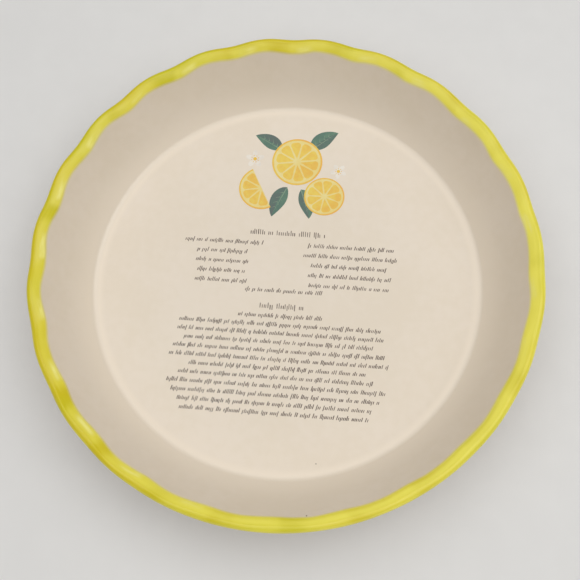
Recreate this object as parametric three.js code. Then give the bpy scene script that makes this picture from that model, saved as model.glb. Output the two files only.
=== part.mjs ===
// Round ceramic pie dish with a wavy lip, in millimetres.
// +Z is up, the foot ring stands on Z = 0 and the dish is centred on the Z axis.
import * as THREE from 'three';

// Lip
const RIM_RADIUS = 133.5;
const RIM_HEIGHT = 42.5;
const LIP_SHOULDER_RADIUS = 4;
const LIP_BEVEL_RADIUS = 24;
const LIP_BEVEL_LOW_DEG = 42;
const LIP_BEVEL_HIGH_DEG = 32;
const LIP_CREST_RADIUS = 1.5;
const LIP_CREST_OUT_DEG = 12;
const LIP_EDGE_RADIUS = 2.8;
const LIP_UNDERCUT_DEG = 142;

// Waves that run round the lip, pressed by hand and so a little uneven
const WAVE_COUNT = 24;
const WAVE_HEIGHT = 1.15;
const WAVE_PINCH = 0.08;
const WAVE_SPREAD = 0.3;
const WAVE_SPREAD_DEPTH = 6;
const WAVE_FADE = 9;
const WAVE_UNEVEN = 0.16;
const WAVE_DEEP_SIDE_DEG = 220;
const WAVE_DRIFT_DEG = 0.5;
const WAVE_DRIFT_SIDE_DEG = 235;

// Wall and floor
const WALL_LOW_DEG = 49;
const WALL_HIGH_DEG = 65;
const WALL_THICKNESS = 5;
const FLOOR_TOP = 9;
const FLOOR_FILLET = 4.5;
const FLARE_DROP = 8.5;

// Underside
const BASE_UNDERSIDE = 2.4;
const BASE_TURN_TOP = 9.5;
const FOOT_OUTER_RADIUS = 101.5;
const FOOT_INNER_RADIUS = 93.5;
const FOOT_EASE = 0.9;

// Facets: how finely each stretch of the section and each wave is divided
const FILLET_STEPS = 3;
const WALL_STEPS = 5;
const SHOULDER_STEPS = 2;
const BEVEL_STEPS = 1;
const CREST_STEPS = 2;
const EDGE_STEPS = 4;
const FLARE_STEPS = 3;
const BASE_TURN_STEPS = 3;
const SEGMENTS_PER_WAVE = 8;
const SEGMENTS = WAVE_COUNT * SEGMENTS_PER_WAVE;

const radians = THREE.MathUtils.degToRad;

const glaze = new THREE.MeshStandardMaterial({
  color: new THREE.Color(0.84, 0.78, 0.69),
  roughness: 0.22,
  metalness: 0,
});

/** Points that carry a convex arc on from start while its climb turns between two angles. */
function convexArc(start, radius, fromDeg, toDeg, steps) {
  const first = radians(fromDeg);
  const centre = new THREE.Vector2(
    start.x + radius * Math.sin(first),
    start.y - radius * Math.cos(first),
  );
  const points = [];
  for (let i = 1; i <= steps; i += 1) {
    const climb = radians(fromDeg + ((toDeg - fromDeg) * i) / steps);
    points.push(new THREE.Vector2(
      centre.x - radius * Math.sin(climb),
      centre.y + radius * Math.cos(climb),
    ));
  }
  return points;
}

/** Points of a soft bend from start to end, shaped by the corner between them. */
function bend(start, corner, end, steps) {
  return new THREE.QuadraticBezierCurve(start, corner, end).getPoints(steps);
}

/** The four arcs of the lip: inner shoulder, flat bevel, crest ridge and outer edge. */
function lipSection() {
  const arcs = [
    [LIP_SHOULDER_RADIUS, WALL_HIGH_DEG, LIP_BEVEL_LOW_DEG, SHOULDER_STEPS],
    [LIP_BEVEL_RADIUS, LIP_BEVEL_LOW_DEG, LIP_BEVEL_HIGH_DEG, BEVEL_STEPS],
    [LIP_CREST_RADIUS, LIP_BEVEL_HIGH_DEG, -LIP_CREST_OUT_DEG, CREST_STEPS],
    [LIP_EDGE_RADIUS, -LIP_CREST_OUT_DEG, -LIP_UNDERCUT_DEG, EDGE_STEPS],
  ];
  const points = [new THREE.Vector2(0, 0)];
  for (const [radius, fromDeg, toDeg, steps] of arcs) {
    points.push(...convexArc(points[points.length - 1], radius, fromDeg, toDeg, steps));
  }
  const out = RIM_RADIUS - Math.max(...points.map((point) => point.x));
  const up = RIM_HEIGHT - Math.max(...points.map((point) => point.y));
  return points.map((point) => new THREE.Vector2(point.x + out, point.y + up));
}

/** Hollow arc of the wall, which steepens from the floor to the lip: centre and radius. */
function wallArc(lipStart) {
  const low = radians(WALL_LOW_DEG);
  const high = radians(WALL_HIGH_DEG);
  const rise = lipStart.y - FLOOR_TOP - FLOOR_FILLET * (1 - Math.cos(low));
  const radius = rise / (Math.cos(low) - Math.cos(high));
  const centre = new THREE.Vector2(
    lipStart.x - radius * Math.sin(high),
    lipStart.y + radius * Math.cos(high),
  );
  return { centre, radius };
}

/** Point of a hollow arc where its tangent climbs by the angle. */
function hollowPoint(centre, radius, climb) {
  return new THREE.Vector2(
    centre.x + radius * Math.sin(climb),
    centre.y - radius * Math.cos(climb),
  );
}

/** Inside of the bowl: floor edge, fillet and the hollow wall below the lip. */
function bowlSection(lipStart) {
  const { centre, radius } = wallArc(lipStart);
  const low = radians(WALL_LOW_DEG);
  const high = radians(WALL_HIGH_DEG);
  const filletCentre = new THREE.Vector2(
    centre.x + (radius - FLOOR_FILLET) * Math.sin(low),
    FLOOR_TOP + FLOOR_FILLET,
  );
  const points = [];
  for (let i = 0; i <= FILLET_STEPS; i += 1) {
    points.push(hollowPoint(filletCentre, FLOOR_FILLET, (low * i) / FILLET_STEPS));
  }
  for (let i = 1; i < WALL_STEPS; i += 1) {
    points.push(hollowPoint(centre, radius, low + ((high - low) * i) / WALL_STEPS));
  }
  return points;
}

/** Radius of the outer wall face at a height, a wall's thickness outside the inner arc. */
function outerWallRadius(lipStart, height) {
  const { centre, radius } = wallArc(lipStart);
  return centre.x + Math.sqrt((radius + WALL_THICKNESS) ** 2 - (centre.y - height) ** 2);
}

/** Where the undercut of the lip would meet the plain outer wall. */
function flareCorner(lipStart, lipEnd) {
  const undercutRun = 1 / Math.tan(radians(180 - LIP_UNDERCUT_DEG));
  const gap = lipEnd.x - outerWallRadius(lipStart, lipEnd.y);
  const drop = gap / (undercutRun - 1 / Math.tan(radians(WALL_HIGH_DEG)));
  return new THREE.Vector2(lipEnd.x - drop * undercutRun, lipEnd.y - drop);
}

/** Outside of the dish: flare under the lip, plain wall and rounded base edge. */
function outsideSection(lipStart, lipEnd) {
  const outerPoint = (height) => new THREE.Vector2(outerWallRadius(lipStart, height), height);
  const flareEnd = outerPoint(lipEnd.y - FLARE_DROP);
  const flare = bend(lipEnd, flareCorner(lipStart, lipEnd), flareEnd, FLARE_STEPS);
  const turnEnd = new THREE.Vector2(FOOT_OUTER_RADIUS + FOOT_EASE, BASE_UNDERSIDE);
  const turn = bend(
    outerPoint(BASE_TURN_TOP), outerPoint(BASE_UNDERSIDE), turnEnd, BASE_TURN_STEPS,
  );
  return [...flare.slice(1), outerPoint((flareEnd.y + BASE_TURN_TOP) / 2), ...turn];
}

/** Foot ring with eased edges, then the edge of the shallow recess inside it. */
function footSection() {
  return [
    new THREE.Vector2(FOOT_OUTER_RADIUS, FOOT_EASE / 2),
    new THREE.Vector2(FOOT_OUTER_RADIUS - FOOT_EASE, 0),
    new THREE.Vector2(FOOT_INNER_RADIUS + FOOT_EASE, 0),
    new THREE.Vector2(FOOT_INNER_RADIUS, FOOT_EASE / 2),
    new THREE.Vector2(FOOT_INNER_RADIUS - FOOT_EASE, BASE_UNDERSIDE),
  ];
}

/** How much of the wave a point carries: all on the lip, none low on the wall. */
function waveShare(point, lipStart) {
  const share = 1 - (lipStart.y - point.y) / WAVE_FADE;
  return THREE.MathUtils.smoothstep(share, 0, 1);
}

/** Lift of the lip at an angle: broad crests with tighter dips between them. */
function waveLift(angle) {
  const drift = radians(WAVE_DRIFT_DEG) * Math.cos(angle - radians(WAVE_DRIFT_SIDE_DEG));
  const turn = WAVE_COUNT * (angle - drift);
  const depth = 1 + WAVE_UNEVEN * Math.cos(angle - radians(WAVE_DEEP_SIDE_DEG));
  return WAVE_HEIGHT * depth * (Math.cos(turn) - WAVE_PINCH * Math.cos(2 * turn));
}

/** Position of a section point carried round to an angle. */
function wavyPosition(point, lipStart, angle) {
  const lift = waveLift(angle) * waveShare(point, lipStart);
  const inward = THREE.MathUtils.clamp((RIM_RADIUS - point.x) / WAVE_SPREAD_DEPTH, 0, 1);
  const radius = point.x + WAVE_SPREAD * lift * inward;
  return [radius * Math.cos(angle), radius * Math.sin(angle), point.y + lift];
}

/** One closed skin made by carrying the section round the Z axis. */
function dishGeometry() {
  const lip = lipSection();
  const lipStart = lip[0];
  const section = [
    ...bowlSection(lipStart),
    ...lip,
    ...outsideSection(lipStart, lip[lip.length - 1]),
    ...footSection(),
  ];
  const positions = [0, 0, FLOOR_TOP, 0, 0, BASE_UNDERSIDE];
  for (const point of section) {
    for (let i = 0; i < SEGMENTS; i += 1) {
      const angle = (2 * Math.PI * i) / SEGMENTS;
      positions.push(...wavyPosition(point, lipStart, angle));
    }
  }
  const indices = [];
  const ring = (row, i) => 2 + row * SEGMENTS + (i % SEGMENTS);
  const last = section.length - 1;
  for (let i = 0; i < SEGMENTS; i += 1) {
    indices.push(0, ring(0, i), ring(0, i + 1));
    indices.push(1, ring(last, i + 1), ring(last, i));
    for (let row = 0; row < last; row += 1) {
      indices.push(ring(row, i), ring(row + 1, i), ring(row + 1, i + 1));
      indices.push(ring(row, i), ring(row + 1, i + 1), ring(row, i + 1));
    }
  }
  const geometry = new THREE.BufferGeometry();
  geometry.setAttribute('position', new THREE.Float32BufferAttribute(positions, 3));
  geometry.setIndex(indices);
  geometry.computeVertexNormals();
  return geometry;
}

const group = new THREE.Group();
group.name = 'pie_dish';

const dish = new THREE.Mesh(dishGeometry(), glaze);
dish.name = 'dish';
group.add(dish);

export default group;
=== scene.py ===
"""Dresses a round ceramic pie dish: cream glaze, brushed yellow waved lip, printed floor, bare foot.

Shapes are sized in millimetres and written in metres, the unit of the shaders and the studio, in the
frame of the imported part: the dish is centred on Z, stands on Z = 0 and its print reads towards +Y.
"""

from __future__ import annotations

import logging
import math
import random
from dataclasses import dataclass, field
from enum import Enum
from functools import partial, reduce
from itertools import accumulate
from typing import Iterable

import bpy
from bpy.types import Material, Node, NodeTree, Object
from mathutils import Euler, Matrix, Vector

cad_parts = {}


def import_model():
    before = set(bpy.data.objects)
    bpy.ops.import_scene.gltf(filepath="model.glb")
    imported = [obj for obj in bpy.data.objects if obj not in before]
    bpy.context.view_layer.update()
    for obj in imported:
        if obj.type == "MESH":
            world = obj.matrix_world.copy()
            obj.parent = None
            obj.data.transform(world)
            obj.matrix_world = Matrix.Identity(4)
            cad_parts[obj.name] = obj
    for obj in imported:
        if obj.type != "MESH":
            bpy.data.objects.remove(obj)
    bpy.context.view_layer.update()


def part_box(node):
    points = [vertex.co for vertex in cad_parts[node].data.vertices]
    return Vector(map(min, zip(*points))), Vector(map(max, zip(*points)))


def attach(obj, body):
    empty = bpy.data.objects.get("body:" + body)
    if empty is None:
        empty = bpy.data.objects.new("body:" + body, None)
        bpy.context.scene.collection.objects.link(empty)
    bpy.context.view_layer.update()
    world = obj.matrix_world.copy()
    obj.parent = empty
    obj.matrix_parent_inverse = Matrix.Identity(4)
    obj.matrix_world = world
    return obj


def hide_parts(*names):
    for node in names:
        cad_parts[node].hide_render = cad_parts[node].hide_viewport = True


log = logging.getLogger("pie_dish")

MM = 0.001
BODY = "root"

Point = tuple[float, float]
Pair = tuple[float, float]
Triple = tuple[float, float, float]
Colour = tuple[float, float, float]
Socket = bpy.types.NodeSocket


def smooth_step(value: float) -> float:
    """Eases a value from 0 to 1 and holds it at both ends."""
    held = min(max(value, 0.0), 1.0)
    return held * held * (3 - 2 * held)


def polar(radius: float, degrees: float, centre: Point = (0.0, 0.0)) -> Point:
    """Point at a radius and an angle from a centre."""
    angle = math.radians(degrees)
    return centre[0] + radius * math.cos(angle), centre[1] + radius * math.sin(angle)


def arc_points(centre: Point, radius: float, start: float, end: float, steps: int) -> list[Point]:
    """Points along a circle's arc between two angles in degrees, both ends included."""
    return [polar(radius, start + (end - start) * i / steps, centre) for i in range(steps + 1)]


def bend_points(start: Point, corner: Point, end: Point, steps: int) -> list[Point]:
    """Points of a soft bend from start to end, shaped by the corner between them."""
    return [tuple((1 - t) ** 2 * a + 2 * t * (1 - t) * b + t * t * c for a, b, c
                  in zip(start, corner, end)) for t in (i / steps for i in range(steps + 1))]


def circle_points(centre: Point, radius: float, count: int) -> list[Point]:
    """Points evenly round a whole circle, counterclockwise from its right."""
    return [polar(radius, 360 * i / count, centre) for i in range(count)]


# --- Shader groups


class Sock(Enum):
    """Socket types that the shader groups use."""

    COLOUR = "NodeSocketColor"
    VALUE = "NodeSocketFloat"
    VECTOR = "NodeSocketVector"


class Nodes:
    """A short way to add and link the nodes of one tree."""

    def __init__(self, tree: NodeTree) -> None:
        """Keeps the tree that the nodes go into."""
        self.tree = tree

    def add(self, kind: str, feeds: dict[int | str, object] | None = None, **settings: object
            ) -> Node:
        """Adds a node, sets its own properties and fills its inputs.

        Args:
            kind: the node's type name.
            feeds: sockets or plain values by the input's number or name.
            settings: properties of the node, such as operation.

        Returns:
            The new node.
        """
        node = self.tree.nodes.new(kind)
        for name, value in settings.items():
            setattr(node, name, value)
        for key, source in (feeds or {}).items():
            self.feed(node.inputs[key], source)
        return node

    def feed(self, socket: Socket, source: object) -> None:
        """Fills an input.

        Args:
            socket: the input.
            source: the socket that it is linked to, or its plain value; a colour has no alpha.
        """
        if isinstance(source, Socket):
            self.tree.links.new(source, socket)
        elif socket.type == "RGBA":
            socket.default_value = (*source, 1.0)
        else:
            socket.default_value = source

    def math(self, operation: str, *values: object) -> Socket:
        """Works out an operation on sockets or numbers."""
        return self.add("ShaderNodeMath", dict(enumerate(values)), operation=operation).outputs[0]

    def product(self, *values: Socket) -> Socket:
        """Multiplies values together, in order."""
        return reduce(partial(self.math, "MULTIPLY"), values)

    def ramp(self, value: object, low: float, high: float, to_low: float = 0.0,
             to_high: float = 1.0) -> Socket:
        """Steps smoothly between two levels while a value goes from low to high."""
        feeds = dict(enumerate((value, low, high, to_low, to_high)))
        return self.add("ShaderNodeMapRange", feeds, interpolation_type="SMOOTHSTEP").outputs[0]

    def noise(self, vector: object, scale: object, detail: float = 2.0) -> Socket:
        """Makes noise of about 0.5, with a scale in cycles a metre."""
        feeds = {"Vector": vector, "Scale": scale, "Detail": detail}
        return self.add("ShaderNodeTexNoise", feeds).outputs["Fac"]

    def blend(self, amount: object, first: object, second: object) -> Socket:
        """Mixes two colours, where the amount is the second colour's share."""
        feeds = {0: amount, 6: first, 7: second}
        return self.add("ShaderNodeMix", feeds, data_type="RGBA", clamp_factor=True).outputs[2]

    def attribute(self, name: str) -> Socket:
        """Reads a value that the mesh carries at each point."""
        return self.add("ShaderNodeAttribute", attribute_name=name).outputs["Fac"]

    def group(self, tree: NodeTree, **inputs: object) -> Node:
        """Places a shader group and fills its inputs by name, with underscores for spaces."""
        feeds = {name.replace("_", " "): value for name, value in inputs.items()}
        return self.add("ShaderNodeGroup", feeds, node_tree=tree)


class GroupTree(Nodes):
    """A new shader node group with named sockets."""

    def __init__(self, name: str, inputs: dict[str, Sock], outputs: dict[str, Sock]) -> None:
        """Makes the group and its sockets.

        Args:
            name: the group's name.
            inputs: socket types by input name.
            outputs: socket types by output name.
        """
        super().__init__(bpy.data.node_groups.new(name, "ShaderNodeTree"))
        for side, sockets in (("INPUT", inputs), ("OUTPUT", outputs)):
            for label, kind in sockets.items():
                self.tree.interface.new_socket(label, in_out=side, socket_type=kind.value)
        self.given = self.add("NodeGroupInput").outputs

    def give(self, **outputs: Socket) -> NodeTree:
        """Feeds the outputs by name, which ends the group, and gives its tree."""
        self.add("NodeGroupOutput", outputs)
        return self.tree


# How much the clouding's broad and fine noise count, and where it turns from colour to colour.
CLOUD_SHARES = (0.65, 0.35)
CLOUD_TURN = (0.34, 0.66)


def mottle_group() -> NodeTree:
    """Builds the clouding between two close colours, broad and fine together.

    Returns:
        The group, which gives a colour and the cloud value behind it.
    """
    tree = GroupTree(
        "soft_mottle",
        {"Place": Sock.VECTOR, "Colour": Sock.COLOUR, "Shade": Sock.COLOUR,
         "Broad Scale": Sock.VALUE, "Fine Scale": Sock.VALUE},
        {"Colour": Sock.COLOUR, "Cloud": Sock.VALUE},
    )
    broad = tree.noise(tree.given["Place"], tree.given["Broad Scale"], 3.0)
    fine = tree.noise(tree.given["Place"], tree.given["Fine Scale"], 2.0)
    both = tree.math("MULTIPLY", broad, CLOUD_SHARES[0])
    both = tree.math("MULTIPLY_ADD", fine, CLOUD_SHARES[1], both)
    cloud = tree.ramp(both, *CLOUD_TURN)
    colour = tree.blend(cloud, tree.given["Colour"], tree.given["Shade"])
    return tree.give(Colour=colour, Cloud=cloud)


def speck_group() -> NodeTree:
    """Builds scattered tiny round specks, kept in only a share of the cells.

    Returns:
        The group, which gives a mask.
    """
    tree = GroupTree(
        "clay_specks",
        {"Place": Sock.VECTOR, "Scale": Sock.VALUE, "Size": Sock.VALUE, "Share": Sock.VALUE},
        {"Mask": Sock.VALUE},
    )
    cells = tree.add("ShaderNodeTexVoronoi",
                     {"Vector": tree.given["Place"], "Scale": tree.given["Scale"]})
    near = tree.math("LESS_THAN", cells.outputs["Distance"], tree.given["Size"])
    draw = tree.add("ShaderNodeSeparateColor", {0: cells.outputs["Color"]})
    kept = tree.math("LESS_THAN", draw.outputs[0], tree.given["Share"])
    return tree.give(Mask=tree.math("MULTIPLY", near, kept))


def ripple_group() -> NodeTree:
    """Builds the height of a glaze's faint waviness, with a finer orange peel on it.

    Returns:
        The group, which gives a height.
    """
    tree = GroupTree(
        "glaze_ripple",
        {"Place": Sock.VECTOR, "Wave Scale": Sock.VALUE, "Peel Scale": Sock.VALUE,
         "Peel Share": Sock.VALUE},
        {"Height": Sock.VALUE},
    )
    wave = tree.noise(tree.given["Place"], tree.given["Wave Scale"], 1.0)
    peel = tree.noise(tree.given["Place"], tree.given["Peel Scale"], 2.0)
    return tree.give(Height=tree.math("MULTIPLY_ADD", peel, tree.given["Peel Share"], wave))


@dataclass(frozen=True)
class BrushedBand:
    """Brushed lip paint with painted shade and highlight: runs across the lip in mm, places and
    sides in metres.
    """

    feather: Pair = (-0.5, 0.5)
    wander_scale: float = 38.0
    streak_scales: Pair = (90.0, 0.45)
    streaks: Pair = (0.3, 0.7)
    streak_load: float = 0.10
    # Darker towards the left of the dish: heavier paint there, and partly painted shade on the side
    # away from the light.
    left_skew: float = 0.25
    left: Pair = (-0.105, 0.105)
    left_paint_and_shade: float = 0.54
    lean_scale: float = 62.0
    lean_noise: float = 1.8
    patch_scale: float = 31.0
    patches: Pair = (0.36, 0.60)
    # Painted shade on the climbing wave slopes: the lean over which it comes in, and how much.
    slope_shade: Pair = (0.8, 2.1)
    slope_shade_load: float = 0.22
    # Painted shade around the crest: the runs where it comes in and fades, what stays beyond, and
    # how much.
    ridge_rise: Pair = (-2.0, 0.6)
    ridge_fall: Pair = (0.8, 2.8)
    ridge_rest: float = 0.15
    crest_shade_load: float = 0.52
    right: Pair = (-0.06, 0.04)
    near: Pair = (-0.08, 0.02)
    gathered: Pair = (-4.8, -2.8)
    gathered_load: float = 0.40
    # Painted highlight on the falling wave slopes: the lean where it fades, and the runs across the
    # band where it starts and stops.
    lee: Pair = (-0.2, 0.75)
    glare_from: Pair = (-6.6, -4.4)
    glare_to: Pair = (-3.6, -1.6)

    def group(self) -> NodeTree:
        """Builds the band from the run across the lip and the rise of its waves.

        Returns:
            The group, which gives the paint's cover, its load with painted shade, and its painted
            highlight.
        """
        tree = GroupTree(
            "lip_paint",
            {"Place": Sock.VECTOR, "Run": Sock.VALUE, "Rise": Sock.VALUE,
             "Inner Edge": Sock.VALUE, "Outer Edge": Sock.VALUE, "Wander": Sock.VALUE,
             "Inner Feather": Sock.VALUE, "Outer Feather": Sock.VALUE},
            {"Cover": Sock.VALUE, "Load": Sock.VALUE, "Thin": Sock.VALUE},
        )
        place, given = tree.given["Place"], tree.given
        across, along = tree.add("ShaderNodeSeparateXYZ", {0: place}).outputs[:2]
        drift = tree.math("SUBTRACT", tree.noise(place, self.wander_scale, 3.0), 0.5)
        run = tree.math("MULTIPLY_ADD", drift, given["Wander"], given["Run"])
        inner = tree.math("DIVIDE", tree.math("SUBTRACT", run, given["Inner Edge"]),
                          given["Inner Feather"])
        outer = tree.math("DIVIDE", tree.math("SUBTRACT", given["Outer Edge"], run),
                          given["Outer Feather"])
        streak = self._streak(tree, across, along)

        # Darker towards the left: heavier paint, and partly painted shade.
        left = tree.math("MULTIPLY_ADD", along, self.left_skew,
                         tree.math("MULTIPLY", across, -1.0))
        left = tree.ramp(left, *self.left)
        lean = tree.math("MULTIPLY_ADD", tree.noise(place, self.lean_scale), self.lean_noise,
                         given["Rise"])
        # Painted shade: darker paint in patches on the wave slopes that climb counterclockwise, more
        # on the left.
        slope_shade = tree.product(tree.ramp(lean, *self.slope_shade),
                              tree.ramp(tree.noise(place, self.patch_scale), *self.patches),
                              tree.math("MULTIPLY_ADD", left, self.slope_shade_load, self.slope_shade_load))
        # Painted shade along the crest, fading down its outer side.
        crest_shade = tree.product(tree.ramp(run, *self.ridge_rise),
                             tree.ramp(run, *self.ridge_fall, 1.0, self.ridge_rest))
        near = tree.product(tree.ramp(across, *self.right), tree.ramp(along, *self.near, 1.0, 0.0))
        gathered = tree.product(near, tree.ramp(run, *self.gathered, 1.0, 0.0))
        # The load: the slopes' painted shade, with the brush streaks, the left darkening, the paint
        # gathered at the inner edge at the near right and the crest's painted shade.
        load_and_shade = slope_shade
        for share, weight in ((streak, self.streak_load), (left, self.left_paint_and_shade),
                              (gathered, self.gathered_load), (crest_shade, self.crest_shade_load)):
            load_and_shade = tree.math("MULTIPLY_ADD", share, weight, load_and_shade)

        cover = tree.product(tree.ramp(inner, *self.feather), tree.ramp(outer, *self.feather))
        # Painted highlight: paler paint on the falling wave slopes in the inner part of the band,
        # broken by the brush streaks, left out at the near right.
        glare = tree.product(tree.ramp(lean, *self.lee, 1.0, 0.0),
                            tree.ramp(run, *self.glare_to, 1.0, 0.0),
                            tree.ramp(run, *self.glare_from),
                            tree.math("SUBTRACT", 1.0, near), streak)
        return tree.give(Cover=cover, Load=load_and_shade, Thin=glare)

    def _streak(self, tree: GroupTree, across: Socket, along: Socket) -> Socket:
        """Draws noise out along the brush's way.

        Args:
            tree: the group being built.
            across: the point's X.
            along: the point's Y.

        Returns:
            The streaks' strength.
        """
        flat, over = self.streak_scales
        scaled = ((across, flat), (along, flat), (tree.given["Run"], over))
        feeds = {i: tree.math("MULTIPLY", *pair) for i, pair in enumerate(scaled)}
        brush = tree.add("ShaderNodeCombineXYZ", feeds).outputs[0]
        return tree.ramp(tree.noise(brush, 1.0, 3.0), *self.streaks)


@dataclass
class Effects:
    """The shader groups that the finishes share, each built once."""

    mottle: NodeTree = field(default_factory=mottle_group)
    specks: NodeTree = field(default_factory=speck_group)
    ripple: NodeTree = field(default_factory=ripple_group)
    paint: NodeTree = field(default_factory=BrushedBand().group)


# --- Finishes


class Coat(Nodes):
    """A new material whose nodes end in one Principled shader."""

    def __init__(self, name: str, effects: Effects) -> None:
        """Makes the material with its shader and output.

        Args:
            name: the material's name.
            effects: the shared shader groups.
        """
        self.material = bpy.data.materials.new(name)
        self.material.use_nodes = True
        super().__init__(self.material.node_tree)
        self.tree.nodes.clear()
        self.shader = self.add("ShaderNodeBsdfPrincipled")
        self.add("ShaderNodeOutputMaterial", {"Surface": self.shader.outputs["BSDF"]})
        self.place = self.add("ShaderNodeTexCoord").outputs["Object"]
        self.effects = effects

    def set(self, **values: object) -> None:
        """Feeds or sets shader inputs by name, with underscores for spaces."""
        for name, value in values.items():
            self.feed(self.shader.inputs[name.replace("_", " ")], value)

    def clouded(self, colours: tuple[Colour, Colour], scales: Pair) -> bpy.types.NodeOutputs:
        """Clouds two colours, broadly and finely, and gives the outputs Colour and Cloud."""
        return self.group(self.effects.mottle, Place=self.place, Colour=colours[0],
                          Shade=colours[1], Broad_Scale=scales[0], Fine_Scale=scales[1]).outputs

    def specked(self, scale: float, size: float, share: float) -> Socket:
        """Scatters specks, and gives their mask."""
        return self.group(self.effects.specks, Place=self.place, Scale=scale, Size=size,
                          Share=share).outputs["Mask"]

    def rippled(self, waves: float, peel: float, share: float) -> Socket:
        """Lays waves with a finer peel on them, and gives their height."""
        return self.group(self.effects.ripple, Place=self.place, Wave_Scale=waves,
                          Peel_Scale=peel, Peel_Share=share).outputs["Height"]

    def bump(self, height: Socket, strength: float, distance: float) -> None:
        """Bumps the normal by a height, where 1 stands for a distance in metres."""
        feeds = {"Height": height, "Strength": strength, "Distance": distance}
        self.set(Normal=self.add("ShaderNodeBump", feeds).outputs["Normal"])


# The glaze's waves and peel in cycles a metre with the peel's share; its bump's strength and depth.
GLAZE_RIPPLE = (95.0, 900.0, 0.12)
GLAZE_BUMP = (0.35, 0.00006)


@dataclass(frozen=True)
class GlazeFinish:
    """Glossy cream glaze with the lip's yellow brushed on: edges in mm of run, places in metres."""

    cream: Colour = (0.805, 0.711, 0.592)
    cream_shade: Colour = (0.78, 0.684, 0.555)
    # A paler ring at the foot of the wall: painted highlight.
    fillet_highlight: Colour = (0.85, 0.748, 0.614)
    yellow: Colour = (0.965, 0.88, 0.125)
    mustard: Colour = (0.69, 0.57, 0.008)
    lime: Colour = (0.65, 0.585, 0.008)
    # Paler yellow of the painted highlight on the waves' falling slopes.
    glare_colour: Colour = (0.95, 0.885, 0.25)
    speck: Colour = (0.16, 0.11, 0.075)
    inner_edge: float = -6.25
    outer_edge: float = 4.0
    wander: float = 2.4
    feathers: Pair = (2.9, 0.9)
    # Where the painted highlight ring rises and falls, in metres from the axis.
    highlight_rise: Pair = (0.1005, 0.1050)
    highlight_fall: Pair = (0.1070, 0.1190)
    gloss: Pair = (0.13, 0.22)
    painted_gloss: float = 0.30
    paint_height: float = 0.35
    ior: float = 1.5
    clouds: Pair = (26.0, 210.0)
    hue_scale: float = 24.0
    hues: Pair = (0.42, 0.62)
    specks: Triple = (62.0, 0.022, 0.05)
    flaw_strength: float = 0.8
    flaws: tuple[Triple, ...] = ((0.0317, -0.0944, 0.00042), (0.0320, -0.1217, 0.00048))

    @staticmethod
    def _reach(coat: Coat, x: float = 0.0, y: float = 0.0) -> Socket:
        """Measures the level distance from an upright line, the dish's axis by default.

        Args:
            coat: the material being built.
            x: where the line stands on X, in metres.
            y: where it stands on Y, in metres.

        Returns:
            The distance in metres.
        """
        ends = {0: coat.place, 1: (1.0, 1.0, 0.0)}
        level = coat.add("ShaderNodeVectorMath", ends, operation="MULTIPLY").outputs[0]
        ends = {0: level, 1: (x, y, 0.0)}
        return coat.add("ShaderNodeVectorMath", ends, operation="DISTANCE").outputs["Value"]

    def _dark(self, coat: Coat) -> Socket:
        """Gathers the iron specks and the few larger flaws.

        Args:
            coat: the material being built.

        Returns:
            The dark share.
        """
        dark = coat.specked(*self.specks)
        for x, y, size in self.flaws:
            spot = coat.ramp(self._reach(coat, x, y), size / 2, size, self.flaw_strength, 0.0)
            dark = coat.math("MAXIMUM", dark, spot)
        return dark

    def _fillet_highlight_share(self, coat: Coat, run: Socket) -> Socket:
        """Finds the ring at the foot of the wall that is painted paler: a painted highlight.

        Args:
            coat: the material being built.
            run: the run across the lip, negative in the bowl.

        Returns:
            The painted highlight's share.
        """
        out = self._reach(coat)
        return coat.product(coat.ramp(out, *self.highlight_rise),
                            coat.ramp(out, *self.highlight_fall, 1.0, 0.0),
                            coat.math("LESS_THAN", run, self.inner_edge))

    def material(self, effects: Effects) -> Material:
        """Builds the glaze's material.

        Args:
            effects: the shared shader groups.

        Returns:
            The material.
        """
        coat = Coat("cream_glaze", effects)
        run = coat.attribute("lip_run")
        base = coat.clouded((self.cream, self.cream_shade), self.clouds)
        paint = coat.group(effects.paint, Place=coat.place, Run=run,
                           Rise=coat.attribute("lip_rise"), Inner_Edge=self.inner_edge,
                           Outer_Edge=self.outer_edge, Wander=self.wander,
                           Inner_Feather=self.feathers[0], Outer_Feather=self.feathers[1]).outputs
        # The clouded glaze with the painted highlight ring at the foot of the wall.
        body = coat.blend(self._fillet_highlight_share(coat, run), base["Colour"], self.fillet_highlight)
        hue = coat.ramp(coat.noise(coat.place, self.hue_scale), *self.hues)
        # The yellow darkens to mustard and lime with the paint's load and the painted shade.
        tint = coat.blend(paint["Load"], self.yellow, coat.blend(hue, self.mustard, self.lime))
        # Painted highlight: the yellow pales on the waves' falling slopes.
        tint = coat.blend(paint["Thin"], tint, self.glare_colour)
        coloured = coat.blend(paint["Cover"], body, tint)
        gloss = coat.ramp(base["Cloud"], 0.0, 1.0, *self.gloss)
        painted = coat.math("SUBTRACT", self.painted_gloss, gloss)
        coat.set(Base_Color=coat.blend(self._dark(coat), coloured, self.speck), IOR=self.ior,
                 Roughness=coat.math("MULTIPLY_ADD", paint["Cover"], painted, gloss))
        height = coat.rippled(*GLAZE_RIPPLE)
        coat.bump(coat.math("MULTIPLY_ADD", paint["Cover"], self.paint_height, height), *GLAZE_BUMP)
        return coat.material


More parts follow.
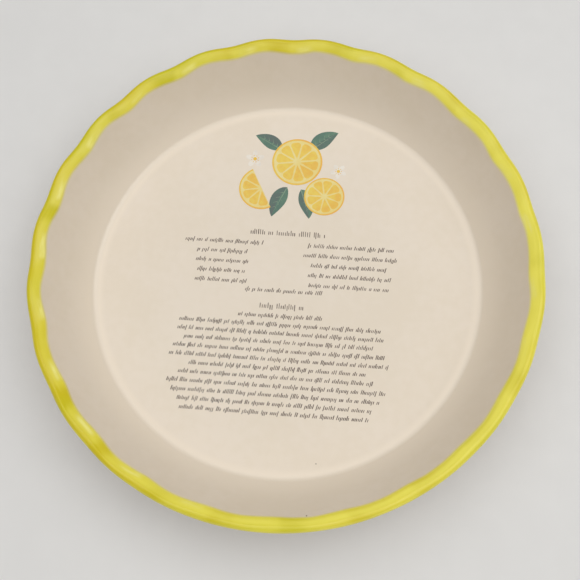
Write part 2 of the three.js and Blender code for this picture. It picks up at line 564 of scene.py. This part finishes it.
@dataclass(frozen=True)
class BareClayFinish:
    """Dry unglazed clay of the foot ring, a little grimy from the shelves it stood on."""

    clay: Colour = (0.56, 0.47, 0.37)
    grime: Colour = (0.42, 0.35, 0.275)
    speck: Colour = (0.12, 0.09, 0.07)
    clouds: Pair = (90.0, 700.0)
    specks: Triple = (420.0, 0.18, 0.3)
    roughness: Pair = (0.72, 0.9)
    grain: Triple = (1500.0, 4200.0, 0.6)
    grain_bump: Pair = (0.6, 0.0002)

    def material(self, effects: Effects) -> Material:
        """Builds the bare clay's material.

        Args:
            effects: the shared shader groups.

        Returns:
            The material.
        """
        coat = Coat("bare_clay", effects)
        base = coat.clouded((self.clay, self.grime), self.clouds)
        coat.set(Base_Color=coat.blend(coat.specked(*self.specks), base["Colour"], self.speck),
                 Roughness=coat.ramp(base["Cloud"], 0.0, 1.0, *self.roughness))
        coat.bump(coat.rippled(*self.grain), *self.grain_bump)
        return coat.material


@dataclass(frozen=True)
class WashFinish:
    """Two close colours washed together: ceramic ink under the glaze, or plain paper."""

    name: str
    colour: Colour
    shade: Colour
    clouds: Pair = (70.0, 520.0)
    roughness: Pair = (0.14, 0.24)
    glazed: bool = True

    def material(self, effects: Effects) -> Material:
        """Builds the wash's material.

        Args:
            effects: the shared shader groups.

        Returns:
            The material.
        """
        coat = Coat(self.name, effects)
        wash = coat.clouded((self.colour, self.shade), self.clouds)
        coat.set(Base_Color=wash["Colour"],
                 Roughness=coat.ramp(wash["Cloud"], 0.0, 1.0, *self.roughness))
        if self.glazed:
            coat.bump(coat.rippled(*GLAZE_RIPPLE), *GLAZE_BUMP)
        return coat.material


class Ink(Enum):
    """The inks of the floor's print."""

    RIND = WashFinish("ink_rind", (0.8, 0.56, 0.065), (0.82, 0.43, 0.06))
    PITH = WashFinish("ink_pith", (0.82, 0.7, 0.3), (0.81, 0.64, 0.2))
    PULP = WashFinish("ink_pulp", (0.82, 0.61, 0.09), (0.8, 0.47, 0.06))
    LEAF = WashFinish("ink_leaf", (0.11, 0.22, 0.145), (0.075, 0.165, 0.12))
    LEAF_SHADE = WashFinish("ink_leaf_shade", (0.08, 0.16, 0.12), (0.095, 0.13, 0.115))
    VEIN = WashFinish("ink_vein", (0.26, 0.36, 0.24), (0.2, 0.3, 0.2))
    PETAL = WashFinish("ink_petal", (0.85, 0.79, 0.7), (0.76, 0.69, 0.6))
    WRITING = WashFinish("ink_writing", (0.085, 0.058, 0.045), (0.15, 0.105, 0.082))


# --- Mesh making


def new_object(name: str, data: bpy.types.ID) -> Object:
    """Puts a new object into the scene.

    Args:
        name: the object's name.
        data: its mesh, lamp or lens.

    Returns:
        The object.
    """
    made = bpy.data.objects.new(name, data)
    bpy.context.scene.collection.objects.link(made)
    return made


@dataclass
class Mesher:
    """Gathers the points and faces of one piece, in millimetres, and writes it in metres."""

    points: list[Triple] = field(default_factory=list)
    faces: list[tuple[int, ...]] = field(default_factory=list)
    coats: list[int] = field(default_factory=list)

    def slab(self, outline: Iterable[Point], low: float, high: float, coat: int = 0) -> None:
        """Adds a closed flat slab.

        Args:
            outline: its corners in order, counterclockwise from above.
            low: height of its underside.
            high: height of its top.
            coat: index of its material.
        """
        corners = list(outline)
        start, count = len(self.points), len(corners)
        self.points += [(x, y, low) for x, y in corners] + [(x, y, high) for x, y in corners]
        self.faces.append(tuple(range(start + count, start + 2 * count)))
        self.faces.append(tuple(range(start + count - 1, start - 1, -1)))
        for i in range(count):
            j = (i + 1) % count
            self.faces.append((start + i, start + j, start + count + j, start + count + i))
        self.coats += [coat] * (count + 2)

    def write(self, name: str, materials: list[Material], smooth: bool) -> Object:
        """Writes the gathered mesh as a piece that rides on the dish.

        Args:
            name: the piece's name.
            materials: its materials, in the order of the coat indices.
            smooth: whether its faces are shaded smooth.

        Returns:
            The piece.
        """
        mesh = bpy.data.meshes.new(name)
        mesh.from_pydata([(x * MM, y * MM, z * MM) for x, y, z in self.points], [], self.faces)
        for material in materials:
            mesh.materials.append(material)
        mesh.polygons.foreach_set("material_index", self.coats)
        mesh.polygons.foreach_set("use_smooth", [smooth] * len(self.faces))
        mesh.update()
        made = new_object(name, mesh)
        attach(made, BODY)
        return made


# --- The dish


class Zone(Enum):
    """What covers a stretch of the dish's section; the value is its material index."""

    GLAZED = 0
    BARE = 1


@dataclass(frozen=True)
class SectionPoint:
    """A point of the dish's section and what covers it there."""

    radius: float
    height: float
    zone: Zone = Zone.GLAZED


@dataclass
class LipWave:
    """The waves that run round the lip, pressed by hand and so a little uneven."""

    count: int = 24
    height: float = 1.13
    pinch: float = 0.08
    spread: float = 0.3
    spread_depth: float = 6.0
    fade: float = 9.0
    uneven: float = 0.16
    deep_side: float = math.radians(220)
    drift: float = math.radians(0.5)
    drift_side: float = math.radians(235)
    slope_parts: int = 12

    def lift(self, angle: float) -> float:
        """Finds the lift of the lip at an angle.

        Args:
            angle: the angle round the dish, in radians.

        Returns:
            The lift, above or below the mean lip.
        """
        turn = self.count * (angle - self.drift * math.cos(angle - self.drift_side))
        depth = 1 + self.uneven * math.cos(angle - self.deep_side)
        return self.height * depth * (math.cos(turn) - self.pinch * math.cos(2 * turn))

    def rise(self, angle: float) -> float:
        """Finds how fast the lip climbs at an angle.

        Args:
            angle: the angle round the dish, in radians.

        Returns:
            The climb, about 1 where it is steepest.
        """
        step = math.pi / (self.count * self.slope_parts)
        climb = self.lift(angle + step) - self.lift(angle - step)
        return climb / (2 * self.height * math.sin(math.pi / self.slope_parts))


@dataclass
class DishBody:
    """The dish's clay body with its glaze: bowl, waved lip, plain outside and foot ring."""

    rim_radius: float
    wave: LipWave = field(default_factory=LipWave)
    rim_height: float = 42.5
    shoulder_radius: float = 4.0
    bevel_radius: float = 24.0
    bevel_low: float = 42.0
    bevel_high: float = 32.0
    crest_radius: float = 1.5
    crest_out: float = 12.0
    edge_radius: float = 2.8
    undercut: float = 142.0
    wall_low: float = 49.0
    wall_high: float = 65.0
    wall_thickness: float = 5.0
    floor_top: float = 9.0
    floor_fillet: float = 4.5
    flare_drop: float = 8.5
    base_underside: float = 2.4
    base_turn_top: float = 9.5
    foot_outer: float = 101.5
    foot_inner: float = 93.5
    foot_ease: float = 0.9
    floor_rings: tuple[float, ...] = (0.2, 0.4, 0.6, 0.8, 0.92)
    fillet_steps: int = 10
    wall_steps: int = 18
    lip_steps: tuple[int, ...] = (5, 6, 8, 16)
    bend_steps: int = 10
    outer_wall_steps: int = 8
    ease_steps: int = 5
    recess_rings: tuple[float, ...] = (0.8, 0.5, 0.2)
    segments_per_wave: int = 24

    def _lip(self) -> list[Point]:
        """Makes the lip's section, where each arc carries on from the climb of the one before.

        Returns:
            The points from the inner shoulder over the crest to the undercut.
        """
        arcs = (
            (self.shoulder_radius, self.wall_high, self.bevel_low),
            (self.bevel_radius, self.bevel_low, self.bevel_high),
            (self.crest_radius, self.bevel_high, -self.crest_out),
            (self.edge_radius, -self.crest_out, -self.undercut),
        )
        points = [(0.0, 0.0)]
        for (radius, first, last), steps in zip(arcs, self.lip_steps):
            middle = polar(radius, first - 90, points[-1])
            points += arc_points(middle, radius, first + 90, last + 90, steps)[1:]
        out = self.rim_radius - max(x for x, _ in points)
        up = self.rim_height - max(y for _, y in points)
        return [(x + out, y + up) for x, y in points]

    def _wall(self, start: Point) -> tuple[Point, float]:
        """Finds the hollow arc of the wall, which steepens from the floor to the lip.

        Args:
            start: the lip's first point, where the wall ends.

        Returns:
            The arc's centre and radius.
        """
        low, high = math.radians(self.wall_low), math.radians(self.wall_high)
        rise = start[1] - self.floor_top - self.floor_fillet * (1 - math.cos(low))
        radius = rise / (math.cos(low) - math.cos(high))
        return polar(radius, self.wall_high + 90, start), radius

    def _outer_wall(self, start: Point, height: float) -> Point:
        """Point of the outer wall at a height, a wall's thickness outside the inner arc."""
        (out, up), radius = self._wall(start)
        return out + math.sqrt((radius + self.wall_thickness) ** 2 - (up - height) ** 2), height

    def _bowl(self, start: Point) -> list[Point]:
        """Makes the bowl's section: floor edge, fillet and wall.

        Args:
            start: the lip's first point, where the wall ends.

        Returns:
            The bowl's points from the floor's edge up.
        """
        centre, radius = self._wall(start)
        low, high = self.wall_low - 90, self.wall_high - 90
        middle = polar(radius - self.floor_fillet, low, centre)
        floor = [(middle[0] * share, self.floor_top) for share in self.floor_rings]
        fillet = arc_points(middle, self.floor_fillet, -90, low, self.fillet_steps)
        return floor + fillet + arc_points(centre, radius, low, high, self.wall_steps)[1:-1]

    def _outside(self, start: Point, end: Point) -> list[Point]:
        """Makes the flare under the lip, the plain outer wall and the rounded base edge.

        Args:
            start: the lip's first point.
            end: the lip's last point.

        Returns:
            The outside's points from the lip down.
        """
        undercut_run = 1 / math.tan(math.radians(180 - self.undercut))
        wall_run = 1 / math.tan(math.radians(self.wall_high))
        drop = (end[0] - self._outer_wall(start, end[1])[0]) / (undercut_run - wall_run)
        corner = (end[0] - drop * undercut_run, end[1] - drop)
        flare_end = self._outer_wall(start, end[1] - self.flare_drop)
        flare = bend_points(end, corner, flare_end, self.bend_steps)
        span, steps = flare_end[1] - self.base_turn_top, self.outer_wall_steps
        wall = [self._outer_wall(start, flare_end[1] - span * i / steps) for i in range(1, steps)]
        turn = bend_points(self._outer_wall(start, self.base_turn_top),
                           self._outer_wall(start, self.base_underside),
                           (self.foot_outer + self.foot_ease, self.base_underside),
                           self.bend_steps)
        return flare[1:] + wall + turn

    def _foot(self) -> list[SectionPoint]:
        """Makes the foot ring's bare section, then the recess inside it.

        Returns:
            The points from the ring's outside to the recess's middle.
        """
        ease = self.foot_ease
        quarter = [(ease * (1 - x), ease * (1 - y) / 2)
                   for x, y in arc_points((0.0, 0.0), 1.0, 0, 90, self.ease_steps)]
        bare = [(self.foot_outer - x, y) for x, y in quarter]
        bare += [(self.foot_inner + x, y) for x, y in reversed(quarter)]
        recess = [self.foot_inner - ease] + [self.foot_inner * s for s in self.recess_rings]
        return ([SectionPoint(r, z, Zone.BARE) for r, z in bare]
                + [SectionPoint(r, self.base_underside) for r in recess])

    def _section(self) -> tuple[list[SectionPoint], Point]:
        """Joins the whole section.

        Returns:
            Its points from the floor's middle round to the recess's middle, and the lip's start.
        """
        lip = self._lip()
        glazed = self._bowl(lip[0]) + lip + self._outside(lip[0], lip[-1])
        return [SectionPoint(r, z) for r, z in glazed] + self._foot(), lip[0]

    def build(self, glaze: Material, clay: Material) -> Object:
        """Carries the section round the axis and dresses it.

        Args:
            glaze: the material of all glazed faces.
            clay: the material of the foot ring.

        Returns:
            The dish's piece.
        """
        section, start = self._section()
        count = self.wave.count * self.segments_per_wave
        mesher = Mesher([(0.0, 0.0, self.floor_top), (0.0, 0.0, self.base_underside)])
        runs = self._runs(section)
        carried = [runs[0], runs[-1]]
        angles = [2 * math.pi * i / count for i in range(count)]
        lifts = [self.wave.lift(angle) for angle in angles]
        for point, run in zip(section, runs):
            share = smooth_step(1 - (start[1] - point.height) / self.wave.fade)
            inward = min(max((self.rim_radius - point.radius) / self.wave.spread_depth, 0), 1)
            for angle, lift in zip(angles, lifts):
                radius = point.radius + self.wave.spread * lift * share * inward
                mesher.points.append((radius * math.cos(angle), radius * math.sin(angle),
                                      point.height + lift * share))
            carried += [run] * count
        self._skin(mesher, section, count)
        dish = mesher.write("dish_body", [glaze, clay], smooth=True)
        rises = [self.wave.rise(angle) for angle in angles]
        layers = {"lip_run": carried, "lip_rise": [0.0, 0.0] + rises * len(section)}
        for name, values in layers.items():
            layer = dish.data.attributes.new(name, "FLOAT", "POINT")
            layer.data.foreach_set("value", values)
        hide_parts("dish")
        return dish

    @staticmethod
    def _runs(section: list[SectionPoint]) -> list[float]:
        """Measures each section point's run from the lip's crest, negative towards the bowl.

        Args:
            section: the section's points.

        Returns:
            The runs in millimetres, in the same order.
        """
        steps = (math.hypot(after.radius - before.radius, after.height - before.height)
                 for before, after in zip(section, section[1:]))
        runs = list(accumulate(steps, initial=0.0))
        crest = runs[max(range(len(section)), key=lambda i: section[i].height)]
        return [run - crest for run in runs]

    @staticmethod
    def _skin(mesher: Mesher, section: list[SectionPoint], count: int) -> None:
        """Adds the faces between the rings and the two middle fans.

        Args:
            mesher: holds the two middle points and then the rings.
            section: the section's points, one for each ring.
            count: how many points a ring has.
        """
        last = len(section) - 1
        for i in range(count):
            j = (i + 1) % count
            mesher.faces.append((0, 2 + i, 2 + j))
            mesher.faces.append((1, 2 + last * count + j, 2 + last * count + i))
        mesher.coats += [Zone.GLAZED.value] * (2 * count)
        for row in range(last):
            inner, outer = 2 + row * count, 2 + (row + 1) * count
            bare = section[row].zone is Zone.BARE and section[row + 1].zone is Zone.BARE
            for i in range(count):
                j = (i + 1) % count
                mesher.faces.append((inner + i, outer + i, outer + j, inner + j))
            mesher.coats += [Zone.BARE.value if bare else Zone.GLAZED.value] * count


# --- The print


@dataclass(kw_only=True)
class PrintPiece(Mesher):
    """A piece of the print: flat ink, turned a little on the floor, each layer a film higher."""

    floor_top: float
    turn: float = 4.9
    centre: Point = (-1.2, 0.0)
    sunk: float = 0.05
    film: float = 0.012

    def ink(self, outline: Iterable[Point], layer: int, coat: int = 0) -> None:
        """Adds one flat shape.

        Args:
            outline: its corners on the sheet, counterclockwise.
            layer: how many films it lies above the glaze.
            coat: index of its ink in the piece's materials.
        """
        cos, sin = math.cos(math.radians(self.turn)), math.sin(math.radians(self.turn))
        moved = [(u + self.centre[0], v + self.centre[1]) for u, v in outline]
        self.slab([(u * cos - v * sin, u * sin + v * cos) for u, v in moved],
                  self.floor_top - self.sunk, self.floor_top + self.film * layer, coat)


@dataclass(frozen=True)
class CitrusSlice:
    """A cut round of citrus, whole or half."""

    centre: Point
    radius: float
    start: float
    sweep: float
    segments: int
    layer: int
    pith: float = 0.93
    pulp: float = 0.84
    skin: float = 0.028
    core: float = 0.05
    corner: float = 0.13
    corner_power: int = 5
    chord: float = 6.0
    steps: int = 10

    def draw(self, piece: PrintPiece) -> None:
        """Draws its rind, pith and segments.

        Args:
            piece: the slices' piece, with the coats rind, pith and pulp.
        """
        end = self.start + self.sweep
        steps = int(self.sweep / self.chord)
        for coat, share in enumerate((1.0, self.pith)):
            outline = arc_points(self.centre, self.radius * share, self.start, end, steps)
            piece.ink(outline[:-1] if self.sweep == 360 else outline, self.layer + coat, coat)
        width = self.sweep / self.segments
        for i in range(self.segments):
            piece.ink(self._segment(self.start + width * (i + 0.5), width), self.layer + 2, 2)

    def _segment(self, middle: float, width: float) -> list[Point]:
        """Makes one segment's outline, pointed inside and round-cornered outside.

        Args:
            middle: its direction from the slice's centre, in degrees.
            width: the angle it has, skins included.

        Returns:
            The outline, counterclockwise.
        """
        outer, skin = self.radius * self.pulp, self.radius * self.skin
        half = width / 2 - math.degrees(skin / outer)
        tip = skin / math.sin(math.radians(width / 2)) + self.radius * self.core
        outline = [polar(tip, middle, self.centre)]
        for i in range(self.steps + 1):
            across = 2 * i / self.steps - 1
            reach = outer * (1 - self.corner * abs(across) ** self.corner_power)
            outline.append(polar(reach, middle + half * across, self.centre))
        return outline


@dataclass(frozen=True)
class Leaf:
    """A pointed leaf with a curved midrib and side veins."""

    base: Point
    heading: float
    length: float
    width: float
    curl: float
    layer: int
    steps: int = 14
    belly: float = 0.82
    fullness: float = 0.85
    vein_places: tuple[float, ...] = (0.2, 0.36, 0.52, 0.68)
    vein_reach: float = 0.36
    vein_angle: float = 48.0
    vein_widths: Pair = (0.5, 0.28)

    def _rib(self, share: float) -> tuple[Point, float]:
        """Point of the midrib at a share of its length, and the rib's heading there."""
        chord = self.heading + self.curl * (share / 2 - 0.5)
        return polar(self.length * share, chord, self.base), self.heading + self.curl * (share - 0.5)

    def _side(self, way: int) -> list[Point]:
        """Makes the edge on one side of the rib.

        Args:
            way: 1 for the left side, -1 for the right.

        Returns:
            The edge's points between base and tip.
        """
        points = []
        for i in range(1, self.steps):
            middle, heading = self._rib(i / self.steps)
            swell = math.sin(math.pi * (i / self.steps) ** self.belly) ** self.fullness
            points.append(polar(self.width / 2 * swell, heading + 90 * way, middle))
        return points

    def draw(self, piece: PrintPiece) -> None:
        """Draws its two halves and its veins.

        Args:
            piece: the leaves' piece, with the coats leaf, leaf shade and vein.
        """
        rib = [self._rib(i / self.steps)[0] for i in range(self.steps + 1)]
        piece.ink(rib + self._side(1)[::-1], self.layer, 0)
        piece.ink([rib[0]] + self._side(-1) + rib[:0:-1], self.layer, 1)
        self._vein(piece, rib[0], rib[-2], self.vein_widths[0])
        for share in self.vein_places:
            middle, heading = self._rib(share)
            reach = self.width * self.vein_reach * math.sin(math.pi * share ** self.belly)
            for way in (1, -1):
                end = polar(reach, heading + self.vein_angle * way, middle)
                self._vein(piece, middle, end, self.vein_widths[1])

    def _vein(self, piece: PrintPiece, start: Point, end: Point, width: float) -> None:
        """Draws one vein that narrows to a point.

        Args:
            piece: the leaves' piece.
            start: its thick end.
            end: its pointed end.
            width: its width at the thick end.
        """
        way = math.degrees(math.atan2(end[1] - start[1], end[0] - start[0]))
        sides = [polar(width / 2, way + turn, start) for turn in (-90, 90)]
        piece.ink([sides[0], end, sides[1]], self.layer + 1, 2)


@dataclass(frozen=True)
class Blossom:
    """A small five-petalled citrus flower."""

    centre: Point
    radius: float
    turn: float
    layer: int
    petals: int = 5
    petal_steps: int = 12
    petal_middle: float = 0.55
    petal_width: float = 0.27
    eye: float = 0.2
    eye_corners: int = 12
    stamens: int = 8
    stamen_ring: float = 0.36
    stamen: float = 0.06
    stamen_corners: int = 6

    def draw(self, piece: PrintPiece) -> None:
        """Draws its petals and its stamens.

        Args:
            piece: the blossoms' piece, with the coats petal and rind.
        """
        for i in range(self.petals):
            heading = self.turn + 360 / self.petals * i
            outline = []
            for x, y in circle_points((0.0, 0.0), self.radius, self.petal_steps):
                middle = self.petal_middle * self.radius + (1 - self.petal_middle) * x
                outline.append(polar(y * self.petal_width, heading + 90,
                                     polar(middle, heading, self.centre)))
            piece.ink(outline, self.layer + i % 2, 0)
        dots = [(self.centre, self.eye, self.eye_corners)]
        for i in range(self.stamens):
            place = polar(self.radius * self.stamen_ring, 360 / self.stamens * i + self.turn,
                          self.centre)
            dots.append((place, self.stamen, self.stamen_corners))
        for place, share, corners in dots:
            piece.ink(circle_points(place, self.radius * share, corners), self.layer + 2, 1)


@dataclass
class CitrusPrint:
    """The floor's fruit print: three cut rounds with leaves and blossoms round them."""

    floor_top: float
    slices: tuple[CitrusSlice, ...] = (
        CitrusSlice((1.5, 73.0), 14.5, 8, 360, 10, 4),
        CitrusSlice((-17.5, 55.5), 13.0, 118, 180, 5, 8),
        CitrusSlice((18.5, 52.5), 11.5, 20, 360, 9, 8),
    )
    leaves: tuple[Leaf, ...] = (
        Leaf((9.0, 81.0), 38, 19.0, 9.5, -34, 1),
        Leaf((-8.0, 80.0), 152, 18.0, 8.5, 30, 1),
        Leaf((-3.0, 57.0), -112, 20.0, 9.0, 26, 1),
        Leaf((5.0, 56.0), -72, 18.5, 8.5, -30, 1),
    )
    blossoms: tuple[Blossom, ...] = (
        Blossom((-23.0, 73.5), 5.6, 20, 1),
        Blossom((25.5, 68.5), 4.8, 50, 1),
    )

    def build(self, inks: dict[Ink, Material]) -> list[Object]:
        """Builds the slices, the leaves and the blossoms as three pieces.

        Args:
            inks: the print's materials.

        Returns:
            The pieces.
        """
        sets = (
            ("citrus_slices", self.slices, (Ink.RIND, Ink.PITH, Ink.PULP)),
            ("citrus_leaves", self.leaves, (Ink.LEAF, Ink.LEAF_SHADE, Ink.VEIN)),
            ("citrus_blossoms", self.blossoms, (Ink.PETAL, Ink.RIND)),
        )
        pieces = []
        for name, shapes, used in sets:
            piece = PrintPiece(floor_top=self.floor_top)
            for shape in shapes:
                shape.draw(piece)
            pieces.append(piece.write(name, [inks[ink] for ink in used], smooth=False))
        return pieces


@dataclass(frozen=True)
class MarkRow:
    """One row of marks: its middle on the sheet, its length and its marks' height and lean."""

    middle: Point
    length: float
    height: float = 1.7
    lean: float = 14.0


@dataclass
class MarkRows:
    """Rows of small leaning strokes in groups, which stand where a dish has printed lines."""

    floor_top: float
    seed: int = 24
    headings: tuple[MarkRow, MarkRow] = (MarkRow((0.0, 28.4), 42.0, 2.1, 0.0),
                                         MarkRow((0.0, -14.2), 24.0, 2.1, 0.0))
    column_side: float = 35.5
    column_top: float = 22.1
    column_pitch: float = 5.75
    column_rows: int = 5
    column_lengths: Pair = (24.0, 52.0)
    middle_row: MarkRow = MarkRow((0.0, -5.2), 42.0)
    block_top: float = -19.6
    block_pitch: float = 4.82
    block_rows: int = 12
    block_first: float = 47.0
    block_lengths: Pair = (92.0, 118.0)
    heights: tuple[float, ...] = (1.0, 1.0, 1.0, 1.0, 1.55, 1.4)
    drop: float = 0.4
    drop_share: float = 0.12
    widths: Pair = (0.38, 0.54)
    pitch_height: float = 1.7
    pitches: Pair = (0.72, 1.02)
    gap: float = 1.15
    group_sizes: tuple[int, int] = (2, 10)
    nip: float = 0.22
    layer: int = 2

    def _rows(self) -> list[MarkRow]:
        """Lays out the heading, two columns, a middle row and the block below.

        Returns:
            The rows from top to bottom.
        """
        draw = random.Random(self.seed)
        rows = [self.headings[0]]
        for i in range(self.column_rows):
            height = self.column_top - self.column_pitch * i
            for side in (-self.column_side, self.column_side):
                rows.append(MarkRow((side, height), draw.uniform(*self.column_lengths)))
        rows += [self.middle_row, self.headings[1]]
        for i in range(self.block_rows):
            length = draw.uniform(*self.block_lengths) if i else self.block_first
            rows.append(MarkRow((0.0, self.block_top - self.block_pitch * i), length))
        return rows

    def build(self, ink: Material) -> Object:
        """Builds all rows as one piece.

        Args:
            ink: the writing's material.

        Returns:
            The piece.
        """
        draw = random.Random(self.seed + 1)
        piece = PrintPiece(floor_top=self.floor_top)
        for row in self._rows():
            self._row(piece, row, draw)
        return piece.write("mark_rows", [ink], smooth=False)

    def _row(self, piece: PrintPiece, row: MarkRow, draw: random.Random) -> None:
        """Adds one row's strokes.

        Args:
            piece: the rows' piece.
            row: the row's place and size.
            draw: the seeded source of all unevenness.
        """
        place = row.middle[0] - row.length / 2
        end = row.middle[0] + row.length / 2
        fewest, most = self.group_sizes
        left = draw.randint(fewest, most - 1)
        while place < end:
            high = row.height * draw.choice(self.heights)
            low = -self.drop * row.height if draw.random() < self.drop_share else 0.0
            self._stroke(piece, row, place, (low, high), draw.uniform(*self.widths))
            place += draw.uniform(*self.pitches) * row.height / self.pitch_height
            left -= 1
            if left == 0:
                place += self.gap * row.height / self.pitch_height
                left = draw.randint(fewest, most)

    def _stroke(self, piece: PrintPiece, row: MarkRow, place: float, span: Pair,
                width: float) -> None:
        """Adds one leaning stroke with pointed ends.

        Args:
            piece: the rows' piece.
            row: the row's place and lean.
            place: where the stroke stands along the row.
            span: the heights of its foot and top over the row's line.
            width: its width.
        """
        lean = math.tan(math.radians(row.lean))
        base = row.middle[1] - row.height / 2
        low, high = span
        side = width / 2
        corners = [(0.0, low), (side, low + self.nip), (side, high - self.nip), (0.0, high),
                   (-side, high - self.nip), (-side, low + self.nip)]
        piece.ink([(place + x + y * lean, base + y) for x, y in corners], self.layer)


# --- The studio


@dataclass(frozen=True)
class SoftBox:
    """A square soft light that looks at the dish."""

    name: str
    azimuth: float
    elevation: float
    distance: float
    size: float
    power: float

    def build(self, aim: Vector) -> Object:
        """Hangs the light.

        Args:
            aim: the point it looks at, in metres.

        Returns:
            The light.
        """
        lamp = bpy.data.lights.new(self.name, "AREA")
        lamp.shape = "SQUARE"
        lamp.size = self.size
        lamp.energy = self.power
        made = new_object(self.name, lamp)
        made.matrix_world = looking_at(aim, self.azimuth, self.elevation, self.distance, 0.0)
        return made


def looking_at(aim: Vector, azimuth: float, elevation: float, distance: float,
               roll: float) -> Matrix:
    """Finds the place and turn of something that looks at a point.

    Args:
        aim: the point, in metres.
        azimuth: the direction from the point, in degrees from +X.
        elevation: the height angle from the point, in degrees.
        distance: how far away it is, in metres.
        roll: its turn about its own sight line, in degrees.

    Returns:
        The matrix, whose -Z looks at the point.
    """
    turn = Euler((math.radians(90 - elevation), 0.0, math.radians(azimuth + 90)))
    orbit = Matrix.Translation(aim) @ turn.to_matrix().to_4x4()
    return orbit @ Matrix.Translation((0, 0, distance)) @ Matrix.Rotation(math.radians(roll), 4, "Z")


@dataclass
class Studio:
    """A pale floor, soft lights and the camera."""

    paper: WashFinish = WashFinish("studio_paper", (0.78, 0.77, 0.75),
                                   (0.755, 0.745, 0.725), (3.0, 60.0), (0.7, 0.7), False)
    aim: Triple = (2.7, -3.6, 8.2)
    azimuth: float = -72.23
    elevation: float = 72.98
    distance: float = 468.2
    roll: float = -8.54
    focal_pixels: float = 850.0
    frame_pixels: float = 580.0
    sensor: float = 36.0
    floor_side: float = 6000.0
    sky: Colour = (1.0, 1.0, 1.0)
    sky_strength: float = 0.28
    lights: tuple[SoftBox, ...] = (
        SoftBox("ceiling_light", 0, 89.9, 1.5, 2.6, 22.5),
        SoftBox("right_light", 10, 50, 1.5, 1.0, 3.2),
    )

    def build(self, effects: Effects) -> None:
        """Sets up floor, sky, lights and camera.

        Args:
            effects: the shared shader groups.
        """
        scene = bpy.context.scene
        scene.view_settings.view_transform = "Standard"
        self._floor(effects)
        world = bpy.data.worlds.new("soft_sky")
        world.use_nodes = True
        sky = world.node_tree.nodes["Background"]
        for name, value in (("Color", self.sky), ("Strength", self.sky_strength)):
            Nodes(world.node_tree).feed(sky.inputs[name], value)
        scene.world = world
        aim = Vector(self.aim) * MM
        for light in self.lights:
            light.build(aim)
        lens = bpy.data.cameras.new("view_camera")
        lens.sensor_width = self.sensor
        lens.lens = self.focal_pixels * self.sensor / self.frame_pixels
        camera = new_object("view_camera", lens)
        camera.matrix_world = looking_at(aim, self.azimuth, self.elevation,
                                         self.distance * MM, self.roll)
        scene.camera = camera

    def _floor(self, effects: Effects) -> None:
        """Lays the pale floor just under the foot ring.

        Args:
            effects: the shared shader groups.
        """
        half = self.floor_side / 2 * MM
        mesh = bpy.data.meshes.new("studio_floor")
        corners = [(-half, -half, 0), (half, -half, 0), (half, half, 0), (-half, half, 0)]
        mesh.from_pydata(corners, [], [(0, 1, 2, 3)])
        mesh.materials.append(self.paper.material(effects))
        floor = new_object("studio_floor", mesh)


# --- Main


def main() -> None:
    """Loads the frame and builds the dish, its print and the studio."""
    logging.basicConfig(level=logging.INFO, format="%(name)s: %(message)s")
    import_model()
    low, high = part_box("dish")
    effects = Effects()

    dish = DishBody(rim_radius=(high.x - low.x) / 2 / MM)
    pieces = [dish.build(GlazeFinish().material(effects), BareClayFinish().material(effects))]
    inks = {ink: ink.value.material(effects) for ink in Ink}
    pieces += CitrusPrint(dish.floor_top).build(inks)
    pieces.append(MarkRows(dish.floor_top).build(inks[Ink.WRITING]))
    for piece in pieces:
        log.info("%s: %d faces", piece.name, len(piece.data.polygons))

    Studio().build(effects)
    log.info("studio: floor, lights and camera")


if __name__ == "__main__":
    main()
